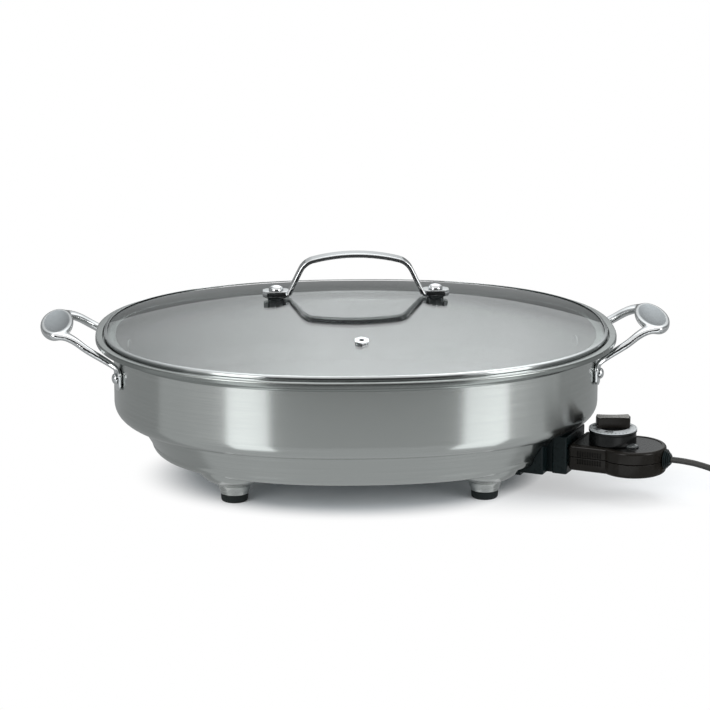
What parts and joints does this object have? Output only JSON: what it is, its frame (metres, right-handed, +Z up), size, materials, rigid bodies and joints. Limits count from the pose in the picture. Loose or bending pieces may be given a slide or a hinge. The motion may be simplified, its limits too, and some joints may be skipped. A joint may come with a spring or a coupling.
{
  "type": "electric skillet",
  "caption": "Oval electric skillet on a footed steel base, with a lift-off domed glass lid, loop side handles and a plug-in dial control on a coiled mains cord.",
  "frame": {"origin": "middle of the pan at counter level", "axes": "+X along the pan's length, -Y towards the cook, +Z up"},
  "size_m": [0.6306, 0.3356, 0.1819],
  "materials": {
    "nonstick": "non-stick coating on cast aluminium",
    "brushed": "brushed stainless steel",
    "rubber": "matt black rubber",
    "satin": "satin steel",
    "aluminium": "mill finish",
    "heater": "heat-darkened steel sheath",
    "chrome": "polished stainless steel",
    "ceramic": "unglazed ceramic",
    "phenolic": "black heat-resistant moulding",
    "housing": "glossy black moulding",
    "brass": "bare brass",
    "lens": "clear moulding",
    "glass": "clear tempered glass",
    "cable": "dark grey cord sheath"
  },
  "bodies": {
    "base": {"cooking_pan": "nonstick", "outer_shell": "brushed", "base_skirt": "brushed", "foot_left_front": "rubber", "foot_left_back": "rubber", "foot_right_front": "rubber", "foot_right_back": "rubber", "foot_screw_left_front": "satin", "foot_screw_left_back": "satin", "foot_screw_right_front": "satin", "foot_screw_right_back": "satin", "bottom_cover": "satin", "stud_sleeve": "satin", "element_clamp": "satin", "cover_nut": "satin", "heat_reflector": "aluminium", "probe_well": "aluminium", "heating_element": "heater", "handle_right": "chrome", "handle_left": "chrome", "rivet_right_front": "chrome", "rivet_right_back": "chrome", "rivet_left_back": "chrome", "rivet_left_front": "chrome", "terminal_pin_front": "chrome", "terminal_pin_back": "chrome", "terminal_block": "ceramic", "socket_guard": "phenolic"},
    "lid": {"lid_glass": "glass", "lid_rim": "chrome", "lid_handle": "chrome", "lid_screw_left": "chrome", "lid_screw_right": "chrome", "lid_gasket_left": "rubber", "lid_gasket_right": "rubber", "lid_nut_left": "satin", "lid_nut_right": "satin", "vent_grommet": "chrome"},
    "control": {"control_base": "housing", "control_cover": "housing", "control_screw": "satin", "contact_block": "phenolic", "contact_sleeve_front": "brass", "contact_sleeve_back": "brass", "probe_rod": "chrome", "thermostat_strip": "brass", "indicator_lamp": "lens", "indicator_lens": "lens", "strain_relief": "phenolic", "cord_lead": "cable", "cord_coil": "cable", "coil_tie": "rubber", "plug_body": "phenolic", "plug_blade_left": "brass", "plug_blade_right": "brass"},
    "dial": {"dial_base": "phenolic", "dial_ring": "satin", "dial_grip": "housing", "dial_shaft": "satin"}
  },
  "joints": [
    {"name": "lid_lift", "type": "slide", "parent": "base", "child": "lid", "axis": [0, 0, 1], "range_m": [0, 0.15]},
    {"name": "control_pull", "type": "slide", "parent": "base", "child": "control", "axis": [0.8988, -0.4384, 0], "range_m": [0, 0.1]},
    {"name": "dial_turn", "type": "hinge", "parent": "control", "child": "dial", "pos_m": [0.19818, -0.07717, 0.054], "axis": [0, 0, -1], "range_deg": [0, 290]}
  ]
}
